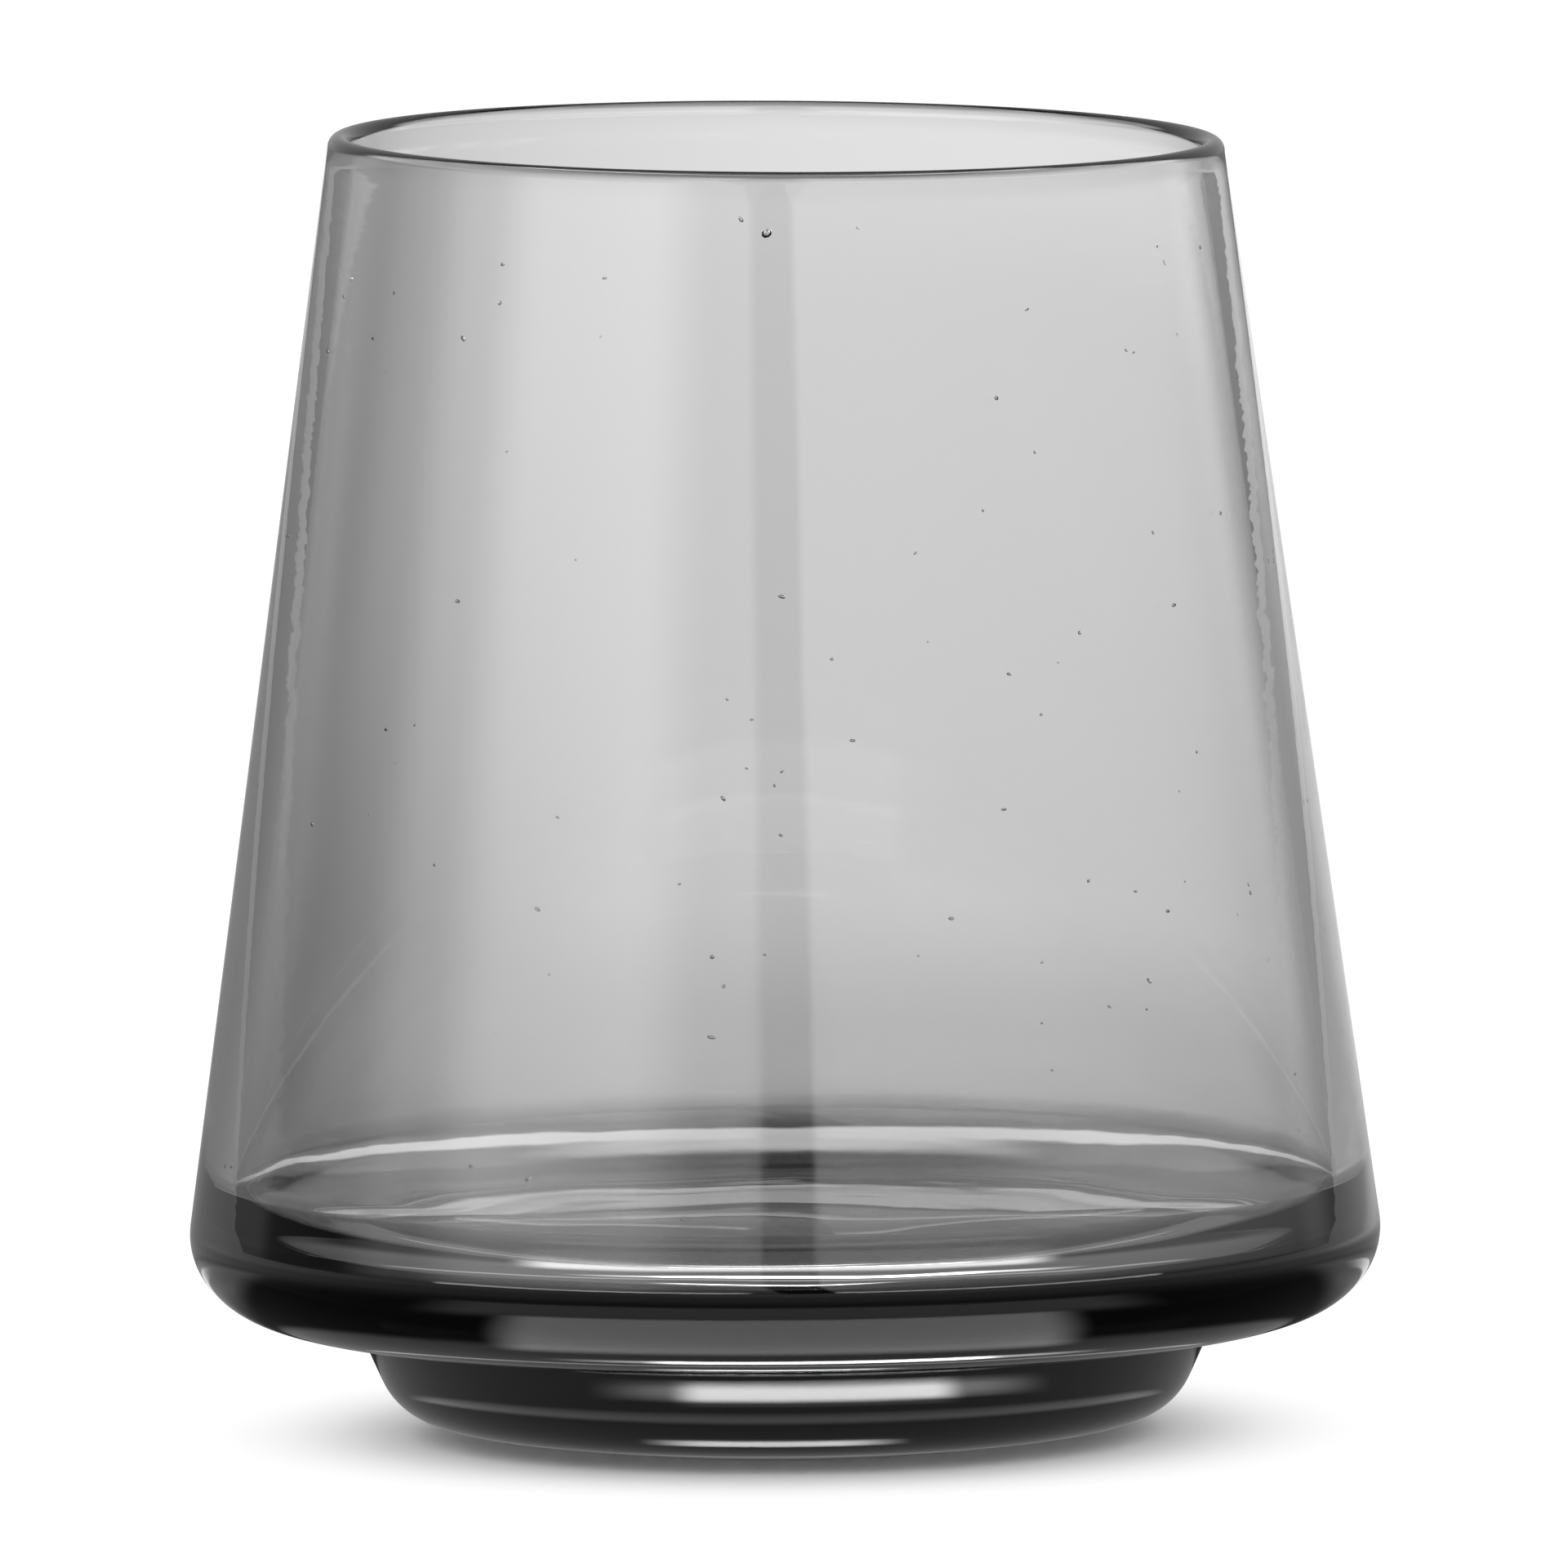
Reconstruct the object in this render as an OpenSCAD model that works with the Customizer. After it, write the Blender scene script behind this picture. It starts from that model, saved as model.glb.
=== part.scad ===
// Whiskey tumbler: a footed bowl of smoke-grey glass, narrowing to the rim.
// Two pieces of glass: the blown bowl, and the solid foot fused face to face under it.
// Origin: centre of the flat that the foot stands on. +Z up, millimetres.

/* [Bowl] */
// Height of the whole tumbler, foot to rim
glass_h = 98.2; // [80:0.1:120]
// Widest outside diameter, just above the heel
widest_d = 90; // [80:0.5:110]
// Lean of the side towards the rim, degrees from upright
side_lean = 7.8; // [2:0.1:11]
// How far in the rounded heel reaches from the widest point
heel_in = 7.7; // [5:0.1:10]
// How far down the rounded heel reaches from the widest point
heel_down = 6.6; // [5:0.1:9]
// Thickness of the fire-polished rim where its rounding starts
rim_t = 1.8; // [1:0.1:3]
// How far down the rounding of the rim reaches
rim_down = 1; // [0.5:0.1:2]
// Thickness of the wall just above the floor's corner
wall_t = 2.8; // [2:0.1:4.5]
// Thickness of the floor at its edge, outside the dome
floor_t = 5.9; // [3:0.1:8]
// Rise of the floor's low dome at its middle
floor_dome = 0.9; // [0:0.1:2]
// How far in the rounded corner of the floor reaches
corner_in = 5.5; // [2:0.1:8]
// How far up the rounded corner of the floor reaches
corner_up = 5; // [3:0.1:10]

/* [Foot] */
// Height of the foot
foot_h = 8.7; // [6:0.1:12]
// Diameter of the foot where it meets the bowl
foot_d = 65.2; // [50:0.2:72]
// Lean of the foot's side, degrees from upright
foot_lean = 24.4; // [5:0.1:35]
// Radius of the round edge between the foot's side and its underside
foot_edge_r = 5.3; // [1:0.1:5.5]
// Rise of the underside outside the flat, degrees
underside_rise = 8.8; // [2:0.1:12]
// Diameter of the flat that the tumbler stands on
flat_d = 38.4; // [20:0.2:40]

/* [Hidden] */
glass_colour = [0.42, 0.42, 0.43, 0.55];
arc_steps = 24;
dome_steps = 12;
turn_fn = 128;
widest_r = widest_d / 2;
widest_z = foot_h + heel_down;
floor_z = foot_h + floor_t;
rim_z = glass_h - rim_down;

// Points of an ellipse's arc, radii rx across and rz up, between two directions of its normal
function normal_turn(rx, rz, lean) = atan2(rz * sin(lean), rx * cos(lean));
function arc(cx, cz, rx, rz, from, to) = [
    for (i = [0 : arc_steps])
        let (a = from + (to - from) * i / arc_steps)
            [cx + rx * cos(a), cz + rz * sin(a)]
];

// The heel runs into the straight side where both have the same slope
heel_turn = normal_turn(heel_in, heel_down, side_lean);
heel = arc(widest_r - heel_in, widest_z, heel_in, heel_down, -90, heel_turn);
side_foot = heel[arc_steps];
function side_r(z) = side_foot[0] - (z - side_foot[1]) * tan(side_lean);
rim_turn = normal_turn(rim_t / 2, rim_down, side_lean);
rim = arc(side_r(rim_z) - rim_t / 2, rim_z, rim_t / 2, rim_down, rim_turn, 180 + rim_turn);

// The inside wall runs straight down from the rim to the corner, which is upright where it starts
corner_z = floor_z + corner_up;
corner_r = side_r(corner_z) - wall_t;
dome_r = corner_r - corner_in;
corner = arc(dome_r, corner_z, corner_in, corner_up, 0, -90);

// The floor's dome is half a wave: level at the corner and level again at the axis
dome = [
    for (i = [1 : dome_steps])
        let (share = i / dome_steps)
            [dome_r * (1 - share), floor_z + floor_dome * (1 - cos(180 * share)) / 2]
];

// The foot's underside, its round edge and its side: the edge's centre is
// foot_edge_r away from both slopes
foot_r = foot_d / 2;
flat_r = flat_d / 2;
side_normal = [cos(foot_lean), -sin(foot_lean)];
under_normal = [sin(underside_rise), -cos(underside_rise)];
side_reach = side_normal * [foot_r, foot_h] - foot_edge_r;
under_reach = under_normal * [flat_r, 0] - foot_edge_r;
spread = side_normal[0] * under_normal[1] - side_normal[1] * under_normal[0];
edge_mid = [
    (side_reach * under_normal[1] - under_reach * side_normal[1]) / spread,
    (side_normal[0] * under_reach - under_normal[0] * side_reach) / spread
];
foot_edge = arc(edge_mid[0], edge_mid[1], foot_edge_r, foot_edge_r, underside_rise - 90, -foot_lean);

module bowl() {
    color(glass_colour)
        rotate_extrude($fn = turn_fn)
            polygon(concat([[0, foot_h]], heel, rim, corner, dome));
}

module foot() {
    color(glass_colour)
        rotate_extrude($fn = turn_fn)
            polygon(concat([[0, 0], [flat_r, 0]], foot_edge, [[foot_r, foot_h], [0, foot_h]]));
}

bowl();
foot();
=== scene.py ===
import math
import random

import bmesh
import bpy
from mathutils import Matrix, Vector, noise


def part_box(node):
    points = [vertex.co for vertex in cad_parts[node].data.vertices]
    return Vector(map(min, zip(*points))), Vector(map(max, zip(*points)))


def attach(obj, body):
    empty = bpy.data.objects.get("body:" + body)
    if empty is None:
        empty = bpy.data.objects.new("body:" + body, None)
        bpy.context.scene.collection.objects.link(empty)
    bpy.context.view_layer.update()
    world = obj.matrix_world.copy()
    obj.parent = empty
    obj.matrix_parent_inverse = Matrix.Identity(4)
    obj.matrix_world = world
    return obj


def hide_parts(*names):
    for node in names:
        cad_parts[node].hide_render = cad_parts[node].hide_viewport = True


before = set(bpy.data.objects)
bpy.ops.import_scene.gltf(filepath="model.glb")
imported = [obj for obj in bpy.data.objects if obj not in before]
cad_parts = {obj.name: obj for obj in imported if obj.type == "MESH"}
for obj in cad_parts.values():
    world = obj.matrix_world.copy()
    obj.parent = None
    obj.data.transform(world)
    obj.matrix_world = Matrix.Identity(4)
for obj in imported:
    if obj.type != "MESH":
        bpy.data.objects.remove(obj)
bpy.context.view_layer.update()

MM = 0.001

# Sizes that the frame gives, in metres
BOWL_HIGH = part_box("bowl")[1]
FOOT_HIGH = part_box("foot")[1]
HEIGHT = BOWL_HIGH[2]
WIDEST_R = BOWL_HIGH[0]
JOINT_Z = FOOT_HIGH[2]
FOOT_R = FOOT_HIGH[0]

# Sizes inside that box, as in the CAD model
SIDE_LEAN = math.radians(7.8)
HEEL_IN = 7.7 * MM
HEEL_DOWN = 6.6 * MM
RIM_T = 1.8 * MM
RIM_DOWN = 1.0 * MM
WALL_T = 2.8 * MM
FLOOR_T = 5.9 * MM
FLOOR_DOME = 0.9 * MM
CORNER_IN = 5.5 * MM
CORNER_UP = 5.0 * MM
FOOT_LEAN = math.radians(24.4)
FOOT_EDGE_R = 5.3 * MM
UNDERSIDE_RISE = math.radians(8.8)
FLAT_R = 19.2 * MM

# Bowl and foot are fused: this gap only keeps the two meshes apart, and light crosses it unbent
FUSED_GAP = 0.01 * MM
FLOOR_Z = -0.02 * MM
TABLE_Z = -0.04 * MM

# Steps of the mesh, fine enough for curves to look smooth in glass
TURN_STEPS = 288
ARC_STEPS = 40
RIM_STEPS = 12
DOME_STEPS = 20
OUTSIDE_STEPS = 50
INSIDE_STEPS = 70
JOINT_STEPS = 10
LEDGE_STEPS = 3
FLAT_STEPS = 8
FOOT_EDGE_STEPS = 30
FOOT_SIDE_STEPS = 5

# Marks of hand work
RIM_SLANT = math.radians(-0.71)
SLANT_FROM_Z = 30 * MM
RIPPLE = 0.07 * MM
RIPPLE_ROUND = 11 * MM
RIPPLE_DOWN = 1.9 * MM
RIPPLE_TOP = 14 * MM
SEEDS = 110
SEED_TOP = 91.4 * MM
SEED_R = (0.06 * MM, 0.16 * MM)
SEED_DEPTH = (0.25, 0.75)
SEED_STRETCH = (1, 2.4)
SEED_TILT = (-0.9, 0.9)
SEED_ROUNDS = 8
SEED_DRAW = 7
# One larger bubble under the rim: (turn, height, depth as a share of the wall, radius, stretch, tilt)
BIG_SEED = (math.radians(-91.3), 93.6 * MM, 0.5, 0.34 * MM, 1.3, 0.5)

# Glass
REFRACTION = 1.5
WAVE_SCALE = (60, 60, 260)
WAVE_DETAIL = 3.0
WAVE_DEPTH = 0.007 * MM
SMOKE_PER_METRE = 85.0

# The light that only the glass sees. Azimuth is 0 behind the glass, 90 at its right and 180 at the
# camera, and elevation is 90 overhead, all in degrees. The brightnesses were tuned.
DOME_R = 1.5
DOME_LOWEST = -2
DOME_BASE = 0.12
# Panels on the dome: (azimuth from, to, elevation from, to, softness, brightness)
PANELS = (
    (45, 172, 22, 62, 8, 2.6),
    (190, 318, 22, 62, 8, 2.2),
    (50, 181, 3, 22, 10, 1.3),
    (181, 270, 3, 22, 16, 1.1),
    (204, 250, 3, 22, 18, 1.7),
    (104, 174, -1, 1.6, 1.6, 5.0),
    (187, 250, -1, 1.6, 1.6, 5.0),
    (-60, 60, 1, 45, 8, 0.33),
    (-180, 180, 66, 100, 10, 0.8),
)
# A dark gap between the front panels, which leans a little
SLIT_MIDDLE = 180.4
SLIT_HALF = 5.25
SLIT_LEAN = 0.44
SLIT_AT = 11.8
SLIT_FROM = -6
SLIT_TO = 36
SLIT_SOFT = 6
SLIT_LIGHT = 0.05

# The table sheet is rows of points that grow apart with their radius, in millimetres
TABLE_FIRST_R = 1.0
TABLE_FINEST = 0.2
TABLE_GROWTH = 0.012
TABLE_BASE = 0.04
# Painted light and shade on it, as parts of rings: (azimuth from, to, softness, radius from, to,
# softness, brightness).
# It is dark near the glass, a painted shadow of the glass, and brighter further out. The thin bright
# rings round the foot are painted pools of light that put the highlights on the foot.
TABLE_PAINTED_LIGHT = (
    (-180, 180, 1, 95, 5000, 60, 0.26),
    (-10, 200, 22, 190, 5000, 100, 0.22),
    (200, 320, 24, 190, 5000, 100, 0.16),
    (-6, 24, 14, 300, 5000, 100, 0.34),
    (-40, 40, 20, 1140, 5000, 60, 0.22),
    (0, 24, 8, 950, 5000, 200, 0.1),
    (-12, 60, 20, 170, 300, 90, 0.15),
    (-50, 60, 20, 73, 86, 4, 0.8),
    (16, 80, 14, 55, 95, 20, 0.24),
    (-80, -16, 14, 55, 95, 20, 0.28),
    (-180, 180, 1, 20, 43, 3, 0.25),
    (143, 217, 8, 41, 60, 3, 2.0),
    (130, 230, 14, 60, 80, 8, 0.5),
    (100, 260, 20, 33.2, 34, 0.4, 1.0),
    (152, 197, 7, 35.3, 36.9, 0.3, 13.0),
    (140, 206, 20, 35.6, 36.9, 0.4, 3.0),
    (166, 198, 14, 28.3, 29.3, 0.4, 8.0),
)

# What the camera sees round the glass
FLOOR_R = 3.0
FLOOR_SIDES = 96
FLOOR_WHITE = 0.95
WORLD_WHITE = 1.15
GLASS_BOUNCES = 24
GLOSSY_BOUNCES = 12

# The camera
CAMERA_RISE = math.radians(5.8)
CAMERA_ROLL = math.radians(-0.474)
CAMERA_AWAY = 2.5
CAMERA_LENS = 760.2
CAMERA_SHIFT = 0.00164
CAMERA_FAR = 20


def smoothstep(x):
    x = min(max(x, 0.0), 1.0)
    return x * x * (3 - 2 * x)


def arc(centre_r, centre_z, radius_r, radius_z, start, end, steps):
    """Points (r, z) of an ellipse's arc between two turns, in radians."""
    points = []
    for i in range(steps + 1):
        turn = start + (end - start) * i / steps
        points.append((centre_r + radius_r * math.cos(turn), centre_z + radius_z * math.sin(turn)))
    return points


def straight(start, end, steps):
    """Points between two points, without the ends."""
    return [
        (start[0] + (end[0] - start[0]) * i / steps, start[1] + (end[1] - start[1]) * i / steps)
        for i in range(1, steps)
    ]


def normal_turn(radius_r, radius_z, lean):
    """The turn on an ellipse at which its normal leans by lean above level."""
    return math.atan2(radius_z * math.sin(lean), radius_r * math.cos(lean))


def side_radius(heel_top, height):
    """Radius of the bowl's straight side, which starts at the top of the heel."""
    return heel_top[0] - (height - heel_top[1]) * math.tan(SIDE_LEAN)


def bowl_outlines():
    """The bowl's section in two runs, outside from the axis underneath to the rim's crest and
    inside from there down to the axis on the floor, and the point where the side starts."""
    joint = JOINT_Z + FUSED_GAP / 2
    heel_turn = normal_turn(HEEL_IN, HEEL_DOWN, SIDE_LEAN)
    heel_r, heel_z = WIDEST_R - HEEL_IN, JOINT_Z + HEEL_DOWN
    heel = arc(heel_r, heel_z, HEEL_IN, HEEL_DOWN, -math.pi / 2, heel_turn, ARC_STEPS)
    heel[0] = (heel[0][0], joint)
    rim_z = HEIGHT - RIM_DOWN
    rim_mid = side_radius(heel[-1], rim_z) - RIM_T / 2
    rim_turn = normal_turn(RIM_T / 2, RIM_DOWN, SIDE_LEAN)
    crest = math.pi / 2
    rim_outside = arc(rim_mid, rim_z, RIM_T / 2, RIM_DOWN, rim_turn, crest, RIM_STEPS)
    rim_inside = arc(rim_mid, rim_z, RIM_T / 2, RIM_DOWN, crest, math.pi + rim_turn, RIM_STEPS)[1:]
    floor_z = JOINT_Z + FLOOR_T
    corner_z = floor_z + CORNER_UP
    corner_r = side_radius(heel[-1], corner_z) - WALL_T
    dome_r = corner_r - CORNER_IN
    corner = arc(dome_r, corner_z, CORNER_IN, CORNER_UP, 0, -math.pi / 2, ARC_STEPS)
    dome = []
    for i in range(1, DOME_STEPS + 1):
        rise = FLOOR_DOME * (1 - math.cos(math.pi * i / DOME_STEPS)) / 2
        dome.append((dome_r * (1 - i / DOME_STEPS), floor_z + rise))
    outside = (
        [(0.0, joint)] + straight((0.0, joint), (FOOT_R, joint), JOINT_STEPS) + [(FOOT_R, joint)]
        + straight((FOOT_R, joint), heel[0], LEDGE_STEPS) + heel
        + straight(heel[-1], rim_outside[0], OUTSIDE_STEPS) + rim_outside
    )
    inside = rim_inside + straight(rim_inside[-1], corner[0], INSIDE_STEPS) + corner + dome
    return outside, inside, heel[-1]


def foot_outline():
    """The foot's section from the axis at the standing face to the axis at the joint."""
    top = JOINT_Z - FUSED_GAP / 2
    side = (math.cos(FOOT_LEAN), -math.sin(FOOT_LEAN))
    under = (math.sin(UNDERSIDE_RISE), -math.cos(UNDERSIDE_RISE))
    side_reach = side[0] * FOOT_R + side[1] * JOINT_Z - FOOT_EDGE_R
    under_reach = under[0] * FLAT_R - FOOT_EDGE_R
    spread = side[0] * under[1] - side[1] * under[0]
    centre = (
        (side_reach * under[1] - under_reach * side[1]) / spread,
        (side[0] * under_reach - under[0] * side_reach) / spread,
    )
    under_turn = UNDERSIDE_RISE - math.pi / 2
    edge = arc(*centre, FOOT_EDGE_R, FOOT_EDGE_R, under_turn, -FOOT_LEAN, FOOT_EDGE_STEPS)
    return (
        [(0.0, 0.0)] + straight((0.0, 0.0), (FLAT_R, 0.0), FLAT_STEPS) + [(FLAT_R, 0.0)]
        + straight((FLAT_R, 0.0), edge[0], FOOT_SIDE_STEPS) + edge
        + straight(edge[-1], (FOOT_R, top), FOOT_SIDE_STEPS) + [(FOOT_R, top)]
        + straight((FOOT_R, top), (0.0, top), JOINT_STEPS) + [(0.0, top)]
    )


def lathe(outline):
    """A closed bmesh turned from an outline that starts and ends on the axis, and its rings."""
    build = bmesh.new()
    ends = [build.verts.new((0, 0, outline[0][1])), build.verts.new((0, 0, outline[-1][1]))]
    rings = []
    for radius, height in outline[1:-1]:
        ring = []
        for i in range(TURN_STEPS):
            turn = 2 * math.pi * i / TURN_STEPS
            ring.append(build.verts.new((radius * math.cos(turn), radius * math.sin(turn), height)))
        rings.append(ring)
    for i in range(TURN_STEPS):
        following = (i + 1) % TURN_STEPS
        build.faces.new((ends[0], rings[0][following], rings[0][i]))
        build.faces.new((ends[1], rings[-1][i], rings[-1][following]))
        for low, high in zip(rings, rings[1:]):
            build.faces.new((low[i], low[following], high[following], high[i]))
    return build, rings


def finish_piece(name, build, material):
    """Makes the object of a bmesh, smooth all over."""
    for face in build.faces:
        face.smooth = True
    mesh = bpy.data.meshes.new(name)
    build.to_mesh(mesh)
    build.free()
    mesh.materials.append(material)
    piece = bpy.data.objects.new(name, mesh)
    bpy.context.scene.collection.objects.link(piece)
    return piece


def make_bowl(material):
    outside, inside, side_foot = bowl_outlines()
    build, rings = lathe(outside + inside)
    ripple_floor(rings[len(outside):], inside)
    slant_rim(build)
    add_seeds(build, side_foot)
    return finish_piece("bowl_glass", build, material)


def ripple_floor(rings, outline):
    """Fine ripples that the tools left inside, strongest where the wall turns into the floor."""
    floor_z = JOINT_Z + FLOOR_T
    run = 0.0
    for place, following, ring in zip(outline, outline[1:], rings):
        run += math.dist(place, following)
        share = smoothstep((floor_z + RIPPLE_TOP - place[1]) / RIPPLE_TOP)
        share *= smoothstep(place[0] / (WIDEST_R - CORNER_IN))
        for vertex in ring:
            spot = Vector((vertex.co.x / RIPPLE_ROUND, vertex.co.y / RIPPLE_ROUND, run / RIPPLE_DOWN))
            wave = RIPPLE * share * noise.noise(spot)
            outward = Vector((vertex.co.x, vertex.co.y, 0)).normalized()
            lean = smoothstep((vertex.co.z - floor_z) / CORNER_UP)
            vertex.co += wave * (outward * lean + Vector((0, 0, 1 - lean)))


def add_seeds(build, side_foot):
    """Tiny bubbles of air inside the wall, drawn out a little."""
    draw = random.Random(SEED_DRAW)
    low_z = JOINT_Z + FLOOR_T + CORNER_UP
    add_seed(build, side_foot, *BIG_SEED)
    for _ in range(SEEDS):
        turn = draw.uniform(0, 2 * math.pi)
        height = draw.uniform(low_z, SEED_TOP)
        size = draw.uniform(*SEED_R)
        stretch = draw.uniform(*SEED_STRETCH)
        depth_share = draw.uniform(*SEED_DEPTH)
        tilt = draw.uniform(*SEED_TILT)
        add_seed(build, side_foot, turn, height, depth_share, size, stretch, tilt)


def add_seed(build, side_foot, turn, height, depth_share, size, stretch, tilt):
    """One closed bubble, wound so that it bounds the glass round it from inside."""
    reach = side_radius(side_foot, height) - depth_share * WALL_T
    place = Matrix.Translation((reach * math.cos(turn), reach * math.sin(turn), height))
    place = place @ Matrix.Rotation(turn, 4, "Z") @ Matrix.Rotation(tilt, 4, "X")
    place = place @ Matrix.Diagonal((size, size * stretch, size, 1))
    rings = []
    for j in range(1, SEED_ROUNDS // 2):
        rise = math.pi * j / (SEED_ROUNDS // 2)
        rings.append([
            build.verts.new(place @ Vector((
                math.sin(rise) * math.cos(2 * math.pi * i / SEED_ROUNDS),
                math.sin(rise) * math.sin(2 * math.pi * i / SEED_ROUNDS),
                -math.cos(rise),
            )))
            for i in range(SEED_ROUNDS)
        ])
    low_end = build.verts.new(place @ Vector((0, 0, -1)))
    high_end = build.verts.new(place @ Vector((0, 0, 1)))
    for i in range(SEED_ROUNDS):
        following = (i + 1) % SEED_ROUNDS
        build.faces.new((low_end, rings[0][i], rings[0][following]))
        build.faces.new((high_end, rings[-1][following], rings[-1][i]))
        for low, high in zip(rings, rings[1:]):
            build.faces.new((low[following], low[i], high[i], high[following]))


def slant_rim(build):
    """The rim was sheared a little out of level."""
    for vertex in build.verts:
        share = smoothstep((vertex.co.z - SLANT_FROM_Z) / (HEIGHT - SLANT_FROM_Z))
        vertex.co.z += math.tan(RIM_SLANT) * vertex.co.x * share


def make_foot(material):
    return finish_piece("foot_glass", lathe(foot_outline())[0], material)


def math_node(nodes, operation, value=None):
    node = nodes.new("ShaderNodeMath")
    node.operation = operation
    if value is not None:
        node.inputs[1].default_value = value
    return node


def joint_mask(nodes, links):
    """1 on the faces where bowl and foot are fused, 0 elsewhere."""
    place = nodes.new("ShaderNodeNewGeometry")
    split = nodes.new("ShaderNodeSeparateXYZ")
    above = math_node(nodes, "SUBTRACT", JOINT_Z)
    away = math_node(nodes, "ABSOLUTE")
    level = math_node(nodes, "LESS_THAN", 2 * FUSED_GAP)
    flat = nodes.new("ShaderNodeVectorMath")
    flat.operation = "MULTIPLY"
    flat.inputs[1].default_value = (1, 1, 0)
    radius = nodes.new("ShaderNodeVectorMath")
    radius.operation = "LENGTH"
    within = math_node(nodes, "LESS_THAN", FOOT_R - FUSED_GAP)
    both = math_node(nodes, "MULTIPLY")
    links.new(place.outputs["Position"], split.inputs[0])
    links.new(split.outputs["Z"], above.inputs[0])
    links.new(above.outputs[0], away.inputs[0])
    links.new(away.outputs[0], level.inputs[0])
    links.new(place.outputs["Position"], flat.inputs[0])
    links.new(flat.outputs[0], radius.inputs[0])
    links.new(radius.outputs["Value"], within.inputs[0])
    links.new(level.outputs[0], both.inputs[0])
    links.new(within.outputs[0], both.inputs[1])
    return both.outputs[0]


def hand_waves(nodes, links):
    """The faint waves of blown glass, drawn out round the bowl."""
    place = nodes.new("ShaderNodeNewGeometry")
    stretch = nodes.new("ShaderNodeMapping")
    stretch.inputs["Scale"].default_value = WAVE_SCALE
    waves = nodes.new("ShaderNodeTexNoise")
    waves.inputs["Scale"].default_value = 1.0
    waves.inputs["Detail"].default_value = WAVE_DETAIL
    bump = nodes.new("ShaderNodeBump")
    bump.inputs["Strength"].default_value = 1.0
    bump.inputs["Distance"].default_value = WAVE_DEPTH
    links.new(place.outputs["Position"], stretch.inputs["Vector"])
    links.new(stretch.outputs[0], waves.inputs["Vector"])
    links.new(waves.outputs["Fac"], bump.inputs["Height"])
    return bump.outputs["Normal"]


def smoke_glass():
    """Grey glass, darker the further light goes through it."""
    material = bpy.data.materials.new("smoke_glass")
    material.use_nodes = True
    nodes, links = material.node_tree.nodes, material.node_tree.links
    nodes.clear()
    out = nodes.new("ShaderNodeOutputMaterial")
    glass = nodes.new("ShaderNodeBsdfPrincipled")
    glass.inputs["Base Color"].default_value = (1, 1, 1, 1)
    glass.inputs["Roughness"].default_value = 0.0
    glass.inputs["IOR"].default_value = REFRACTION
    glass.inputs["Transmission Weight"].default_value = 1.0
    links.new(hand_waves(nodes, links), glass.inputs["Normal"])
    clear = nodes.new("ShaderNodeBsdfTransparent")
    mix = nodes.new("ShaderNodeMixShader")
    links.new(joint_mask(nodes, links), mix.inputs[0])
    links.new(glass.outputs[0], mix.inputs[1])
    links.new(clear.outputs[0], mix.inputs[2])
    links.new(mix.outputs[0], out.inputs["Surface"])
    smoke = nodes.new("ShaderNodeVolumeAbsorption")
    smoke.inputs["Color"].default_value = (0.0, 0.0, 0.0, 1)
    smoke.inputs["Density"].default_value = SMOKE_PER_METRE
    links.new(smoke.outputs[0], out.inputs["Volume"])
    return material


def pale_floor():
    """A pale floor for the camera. The glass sees the glowing table sheet instead."""
    build = bmesh.new()
    bmesh.ops.create_circle(build, cap_ends=True, segments=FLOOR_SIDES, radius=FLOOR_R)
    material = bpy.data.materials.new("pale_floor")
    material.use_nodes = True
    shader = material.node_tree.nodes["Principled BSDF"]
    shader.inputs["Base Color"].default_value = (FLOOR_WHITE, FLOOR_WHITE, FLOOR_WHITE, 1)
    shader.inputs["Roughness"].default_value = 0.9
    shader.inputs["Specular IOR Level"].default_value = 0.0
    floor = finish_piece("floor", build, material)
    floor.location.z = FLOOR_Z
    floor.visible_transmission = False
    floor.visible_glossy = False


def band(value, low, high, soft):
    """1 between low and high, fading to 0 over soft at each end."""
    return smoothstep((value - low) / soft + 0.5) * smoothstep((high - value) / soft + 0.5)


def sector(azimuth, turn_from, turn_to, soft):
    """1 between two azimuths, fading to 0 over soft at each end."""
    half = (turn_to - turn_from) / 2
    if half >= 180:
        return 1.0
    away = abs((azimuth - turn_from - half + 180) % 360 - 180)
    return smoothstep((half - away) / soft + 0.5)


def dome_light(azimuth, elevation):
    light = DOME_BASE
    for turn_from, turn_to, rise_from, rise_to, soft, level in PANELS:
        share = sector(azimuth, turn_from, turn_to, soft) * band(elevation, rise_from, rise_to, soft)
        light += level * share
    away = abs(azimuth - SLIT_MIDDLE - SLIT_LEAN * (elevation - SLIT_AT))
    shade = smoothstep(SLIT_HALF - away + 0.5) * band(elevation, SLIT_FROM, SLIT_TO, SLIT_SOFT)
    return light * (1 - shade) + SLIT_LIGHT * shade


# The table's glow at one place: painted shadow of the glass close to it, painted pools of light round
# the foot
def table_light(azimuth, radius):
    light = TABLE_BASE
    for turn_from, turn_to, turn_soft, reach_from, reach_to, soft, level in TABLE_PAINTED_LIGHT:
        share = sector(azimuth, turn_from, turn_to, turn_soft) * band(radius, reach_from, reach_to, soft)
        light += level * share
    return light


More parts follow.
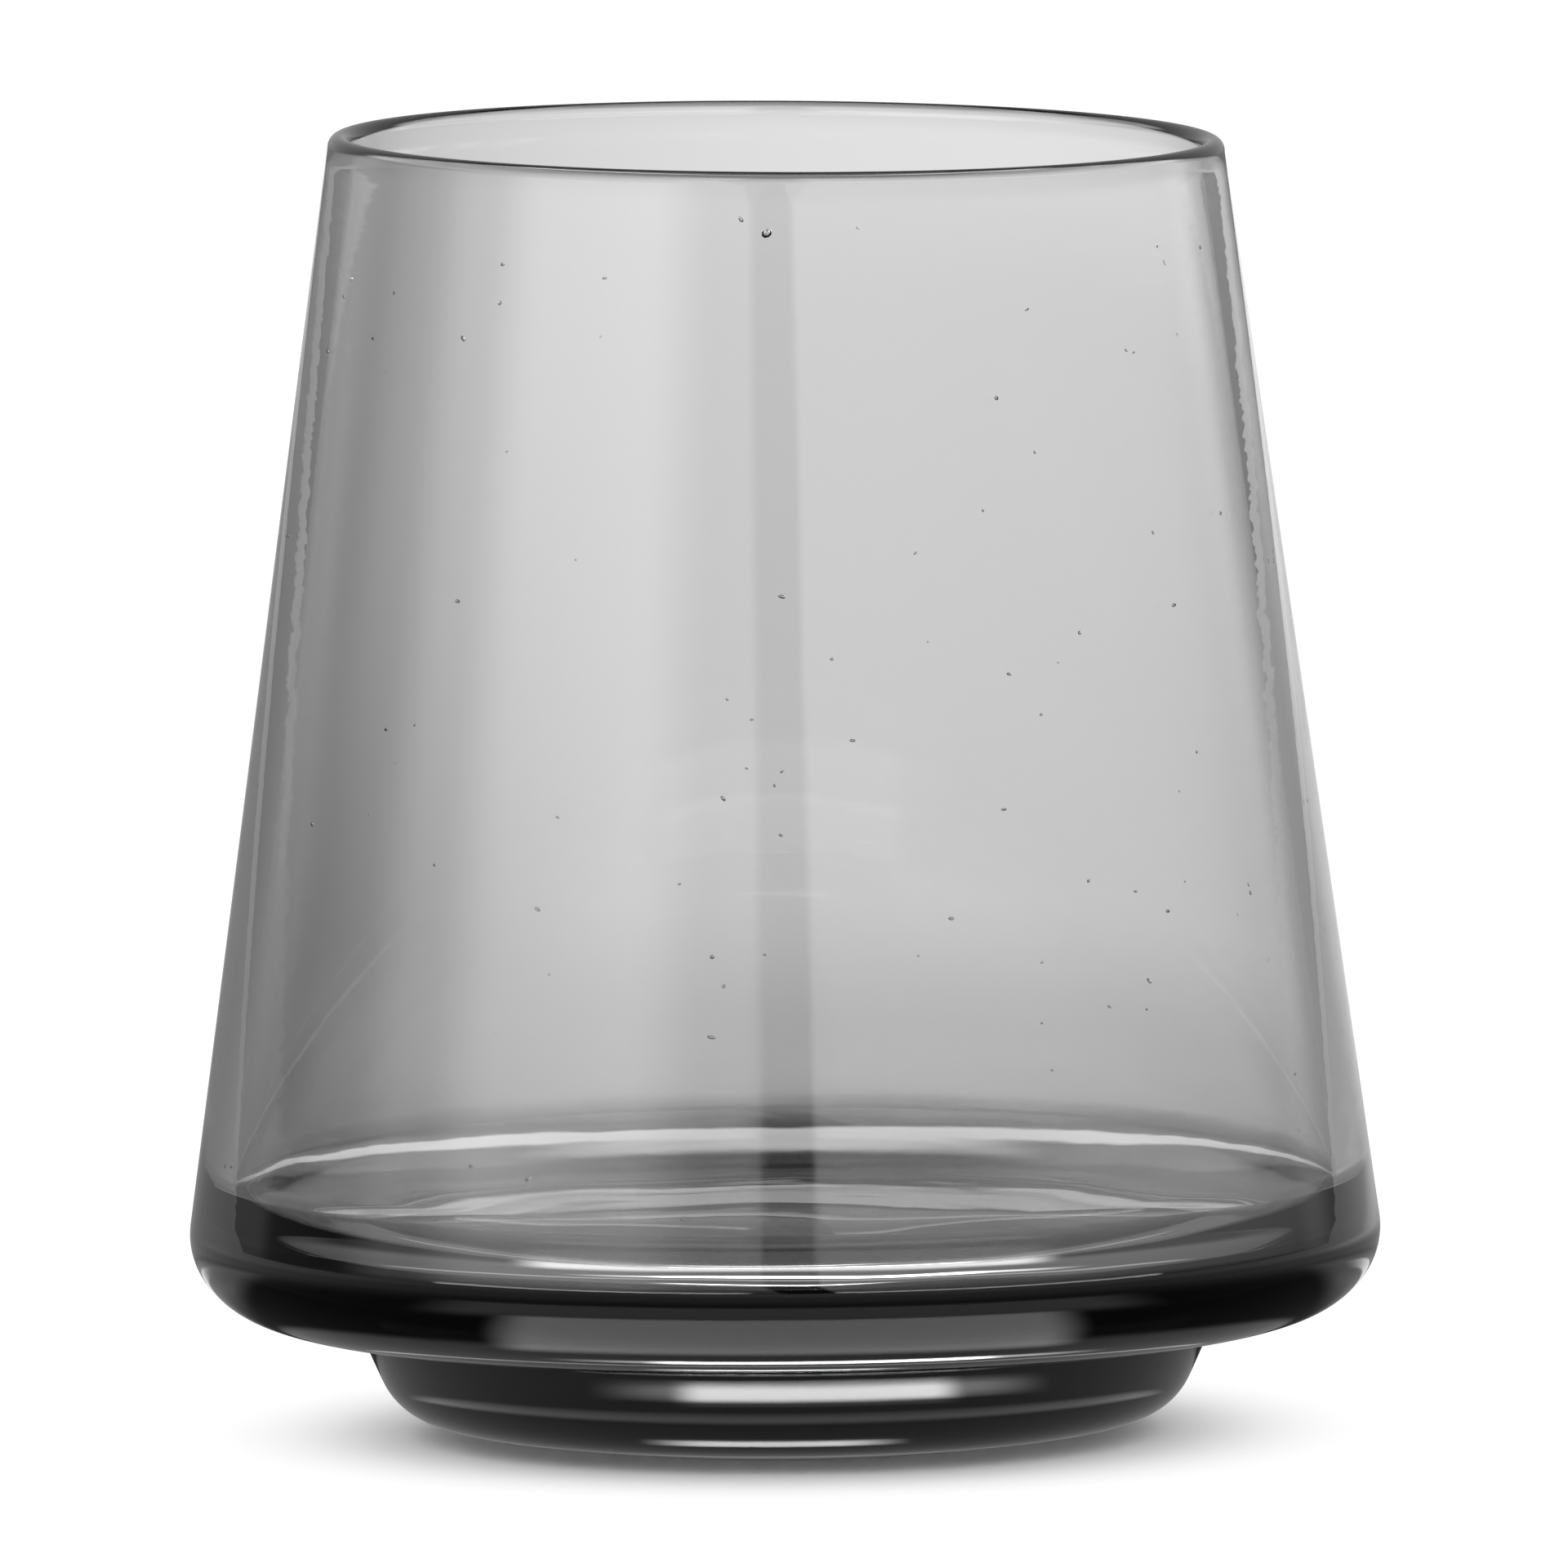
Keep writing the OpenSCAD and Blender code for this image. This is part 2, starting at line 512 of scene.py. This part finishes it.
def glowing_sheet(name, rows):
    """A stage mesh of rows of (place, brightness) round the axis, seen only in and through glass."""
    build = bmesh.new()
    glow = build.verts.layers.float.new("glow")
    grid = []
    for row in rows:
        line = []
        for place, brightness in row:
            vertex = build.verts.new(place)
            vertex[glow] = brightness
            line.append(vertex)
        grid.append(line)
    for low, high in zip(grid, grid[1:]):
        for i in range(len(low)):
            following = (i + 1) % len(low)
            build.faces.new((low[i], low[following], high[following], high[i]))
    material = bpy.data.materials.new(name)
    material.use_nodes = True
    nodes, links = material.node_tree.nodes, material.node_tree.links
    nodes.clear()
    out = nodes.new("ShaderNodeOutputMaterial")
    light = nodes.new("ShaderNodeEmission")
    level = nodes.new("ShaderNodeAttribute")
    level.attribute_name = "glow"
    links.new(level.outputs["Fac"], light.inputs["Strength"])
    links.new(light.outputs[0], out.inputs["Surface"])
    material.cycles.emission_sampling = "NONE"
    sheet = finish_piece(name, build, material)
    sheet.visible_camera = False
    sheet.visible_diffuse = False
    sheet.visible_shadow = False


def studio_dome():
    """Rows half a degree apart, from just under the horizon to overhead."""
    rows = []
    for half_step in range(2 * DOME_LOWEST, 2 * 90 + 1):
        elevation = half_step / 2
        row = []
        for azimuth in range(360):
            around, rise = math.radians(azimuth), math.radians(elevation)
            side = DOME_R * math.cos(rise)
            place = (side * math.sin(around), side * math.cos(around), DOME_R * math.sin(rise))
            row.append((place, dome_light(azimuth, elevation)))
        rows.append(row)
    glowing_sheet("studio_dome", rows)


# A glowing sheet in the table's place, seen only in the glass, with the glass's shadow and the light
# round its foot painted into its glow
def painted_light_table():
    """Rings that grow apart as they get further from the glass."""
    rows = []
    radius = TABLE_FIRST_R
    while radius < DOME_R / MM:
        row = []
        for azimuth in range(360):
            around = math.radians(azimuth)
            place = (radius * MM * math.sin(around), radius * MM * math.cos(around), TABLE_Z)
            row.append((place, table_light(azimuth, radius)))
        rows.append(row)
        radius += max(TABLE_FINEST, radius * TABLE_GROWTH)
    glowing_sheet("painted_light_table", rows)


def studio():
    """White light all round for the camera and the floor."""
    scene = bpy.context.scene
    world = bpy.data.worlds.new("studio")
    world.use_nodes = True
    world.node_tree.nodes["Background"].inputs["Color"].default_value = (1, 1, 1, 1)
    world.node_tree.nodes["Background"].inputs["Strength"].default_value = WORLD_WHITE
    scene.world = world
    scene.view_settings.view_transform = "Standard"
    scene.cycles.max_bounces = GLASS_BOUNCES
    scene.cycles.transmission_bounces = GLASS_BOUNCES
    scene.cycles.glossy_bounces = GLOSSY_BOUNCES
    scene.cycles.transparent_max_bounces = GLASS_BOUNCES


def camera():
    """A long lens, a little above level, rolled by half a degree."""
    data = bpy.data.cameras.new("camera")
    view = bpy.data.objects.new("camera", data)
    bpy.context.scene.collection.objects.link(view)
    data.lens = CAMERA_LENS
    data.shift_x = CAMERA_SHIFT
    data.clip_end = CAMERA_FAR
    height = HEIGHT / 2 + CAMERA_AWAY * math.sin(CAMERA_RISE)
    place = (0, -CAMERA_AWAY * math.cos(CAMERA_RISE), height)
    aim = Matrix.Rotation(math.pi / 2 - CAMERA_RISE, 4, "X") @ Matrix.Rotation(CAMERA_ROLL, 4, "Z")
    view.matrix_world = Matrix.Translation(place) @ aim
    bpy.context.scene.camera = view


# The glass casts no direct shadow, and only the foot shades the floor
glass_material = smoke_glass()
for piece, node in ((make_bowl(glass_material), "bowl"), (make_foot(glass_material), "foot")):
    piece.visible_shadow = False
    piece.visible_diffuse = node == "foot"
    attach(piece, "root")
    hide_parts(node)
pale_floor()
studio_dome()
painted_light_table()
studio()
camera()
